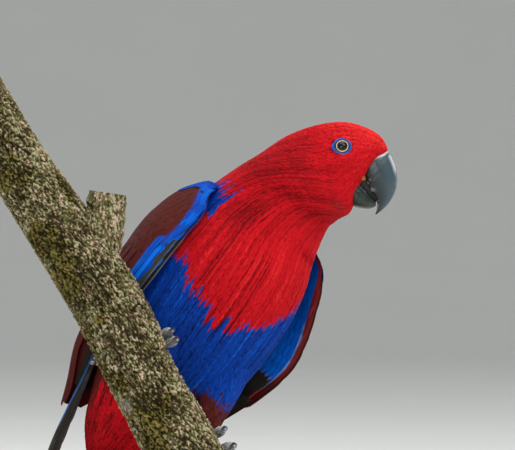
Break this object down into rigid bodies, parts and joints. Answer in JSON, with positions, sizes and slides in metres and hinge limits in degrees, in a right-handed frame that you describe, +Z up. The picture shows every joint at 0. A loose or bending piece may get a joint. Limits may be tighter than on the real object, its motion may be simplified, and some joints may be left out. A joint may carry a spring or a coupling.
{
  "type": "eclectus parrot model",
  "caption": "Life-size still model of a female eclectus parrot gripping a cut length of branch on a plain display stand",
  "frame": {"origin": "middle of the stand base's underside, on the surface it stands on", "axes": "+Z up; +X the way the head looks, to the right in the picture; -Y the side the breast faces"},
  "size_m": [0.2751, 0.1708, 0.3419],
  "materials": {
    "body_red": "scarlet contour feathers, soft sheen",
    "body_blue": "royal blue contour feathers, soft sheen",
    "wing": "maroon and blue flight feathers and coverts, satin",
    "tail": "red tail feathers with a paler tip, satin",
    "thigh": "maroon leg feathers, soft",
    "bill": "dark grey horn, satin, worn paler at the edges",
    "claw": "dark horn, satin",
    "eye": "dark eye with a pale yellowish ring, wet gloss",
    "foot": "grey scaly skin, dull",
    "bark": "rough grey-brown bark with green lichen and moss",
    "stand_board": "dark stained board, satin",
    "stand_metal": "brushed rod"
  },
  "bodies": {
    "root": {"beak_lower": "bill", "beak_upper": "bill", "claw_l_hind": "claw", "claw_l_inner": "claw", "claw_l_middle": "claw", "claw_l_outer_back": "claw", "claw_r_hind": "claw", "claw_r_inner": "claw", "claw_r_middle": "claw", "claw_r_outer_back": "claw", "eye_l": "eye", "eye_r": "eye", "foot_l": "foot", "foot_r": "foot", "head": "body_red", "neck": "body_red", "perch": "bark", "stand_base": "stand_board", "stand_rod_1": "stand_metal", "stand_rod_2": "stand_metal", "tail": "tail", "thigh_l": "thigh", "thigh_r": "thigh", "torso": "body_blue", "wing_l": "wing", "wing_r": "wing"}
  },
  "joints": []
}
